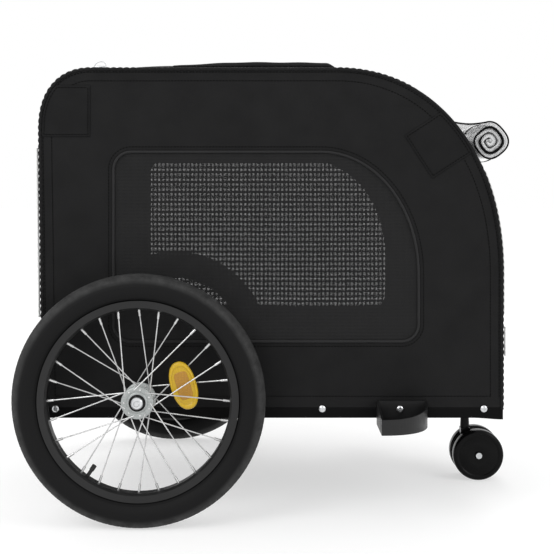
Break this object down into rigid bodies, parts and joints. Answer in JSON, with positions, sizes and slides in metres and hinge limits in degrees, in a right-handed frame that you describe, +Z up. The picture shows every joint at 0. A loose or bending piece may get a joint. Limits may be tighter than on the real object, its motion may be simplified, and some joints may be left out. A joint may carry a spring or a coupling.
{
  "type": "bicycle trailer",
  "caption": "Covered two-wheel bicycle trailer with a fabric cabin, mesh windows, folding steel hoops, a swivelling twin caster and a rolled-up rain cover.",
  "frame": {"origin": "on the ground, in the middle of the trailer's length and width", "axes": "+X forward towards the caster, +Y to the left, +Z up"},
  "size_m": [0.8327, 0.7206, 0.7408],
  "materials": {
    "frame_steel": "satin black paint",
    "zinc_steel": "zinc plated",
    "board": "fabric covered board",
    "mat_fabric": "quilted mat",
    "oxford_fabric": "coated woven",
    "window_mesh": "fine mesh",
    "piping": "cord piping",
    "clear_sheet": "clear soft sheet",
    "moulded_plastic": "fine grain",
    "tyre_rubber": "matt rubber",
    "rim_paint": "satin black",
    "hub_alloy": "satin",
    "amber_plastic": "prismatic amber",
    "caster_plastic": "gloss black"
  },
  "bodies": {
    "chassis": {"side_rail_r": "frame_steel", "side_rail_l": "frame_steel", "cross_rails": "frame_steel", "front_rail": "frame_steel", "floor_board": "board", "floor_mat": "mat_fabric", "leg_brackets": "frame_steel", "hinge_bolts": "zinc_steel", "side_panel_r": "oxford_fabric", "side_panel_l": "oxford_fabric", "window_mesh_r": "window_mesh", "window_mesh_l": "window_mesh", "window_piping": "piping", "edge_trim": "oxford_fabric", "corner_patches": "oxford_fabric", "roof_panel": "oxford_fabric", "nose_panel": "oxford_fabric", "nose_mesh": "window_mesh", "back_panel": "oxford_fabric", "roof_flap": "oxford_fabric", "cover_sheet": "clear_sheet", "cover_roll": "clear_sheet", "cover_straps": "oxford_fabric", "hem_screws": "zinc_steel", "deflector_r": "moulded_plastic", "deflector_l": "moulded_plastic", "axle_receiver_r": "frame_steel", "axle_receiver_l": "frame_steel", "axle_r": "zinc_steel", "axle_l": "zinc_steel", "tow_receiver": "frame_steel"},
    "front_hoop": {"front_leg_r": "frame_steel", "front_leg_l": "frame_steel", "front_bars": "frame_steel"},
    "rear_hoop": {"rear_leg_r": "frame_steel", "rear_leg_l": "frame_steel", "rear_bars": "frame_steel"},
    "door": {"rear_door": "oxford_fabric"},
    "door_slider": {"door_zip_slider": "moulded_plastic"},
    "roof_slider": {"roof_zip_slider": "moulded_plastic"},
    "button_r": {"axle_button_r": "zinc_steel"},
    "button_l": {"axle_button_l": "zinc_steel"},
    "wheel_r": {"tyre_r": "tyre_rubber", "rim_r": "rim_paint", "hub_r": "hub_alloy", "spokes_r": "zinc_steel", "valve_r": "moulded_plastic", "reflector_r": "amber_plastic"},
    "wheel_l": {"tyre_l": "tyre_rubber", "rim_l": "rim_paint", "hub_l": "hub_alloy", "spokes_l": "zinc_steel", "valve_l": "moulded_plastic", "reflector_l": "amber_plastic"},
    "caster": {"caster_yoke": "moulded_plastic", "caster_axle": "zinc_steel"},
    "caster_disc_r": {"caster_wheel_r": "caster_plastic"},
    "caster_disc_l": {"caster_wheel_l": "caster_plastic"}
  },
  "joints": [
    {"name": "wheel_r_spin", "type": "hinge", "parent": "chassis", "child": "wheel_r", "pos_m": [-0.2164, -0.325, 0.2], "axis": [0, 1, 0], "continuous": true},
    {"name": "wheel_l_spin", "type": "hinge", "parent": "chassis", "child": "wheel_l", "pos_m": [-0.2164, 0.325, 0.2], "axis": [0, 1, 0], "continuous": true},
    {"name": "axle_button_r_press", "type": "slide", "parent": "chassis", "child": "button_r", "axis": [0, 1, 0], "range_m": [0, 0.003], "stiffness_N_per_m": 900, "springref_m": -0.002},
    {"name": "axle_button_l_press", "type": "slide", "parent": "chassis", "child": "button_l", "axis": [0, -1, 0], "range_m": [0, 0.003], "stiffness_N_per_m": 900, "springref_m": -0.002},
    {"name": "caster_swivel", "type": "hinge", "parent": "chassis", "child": "caster", "pos_m": [0.3497, 0, 0.183], "axis": [0, 0, 1], "continuous": true},
    {"name": "caster_wheel_r_spin", "type": "hinge", "parent": "caster", "child": "caster_disc_r", "pos_m": [0.3704, -0.0215, 0.046], "axis": [0, 1, 0], "continuous": true},
    {"name": "caster_wheel_l_spin", "type": "hinge", "parent": "caster", "child": "caster_disc_l", "pos_m": [0.3704, 0.0215, 0.046], "axis": [0, 1, 0], "continuous": true},
    {"name": "front_hoop_fold", "type": "hinge", "parent": "chassis", "child": "front_hoop", "pos_m": [0.3554, 0, 0.202], "axis": [0, -1, 0], "range_deg": [0, 50]},
    {"name": "rear_hoop_fold", "type": "hinge", "parent": "chassis", "child": "rear_hoop", "pos_m": [-0.3652, 0, 0.202], "axis": [0, 1, 0], "range_deg": [0, 80]},
    {"name": "door_open", "type": "hinge", "parent": "chassis", "child": "door", "pos_m": [-0.37895, 0, 0.205], "axis": [0, -1, 0], "range_deg": [0, 95]},
    {"name": "door_zip_slide", "type": "slide", "parent": "chassis", "child": "door_slider", "axis": [-0.0129, 0, 0.9999], "range_m": [0, 0.27]},
    {"name": "roof_zip_slide", "type": "slide", "parent": "chassis", "child": "roof_slider", "axis": [1, 0, 0], "range_m": [0, 0.3]}
  ],
  "couplings": [
    {"joint": "rear_hoop_fold", "follows": "front_hoop_fold", "ratio": 1.6}
  ]
}
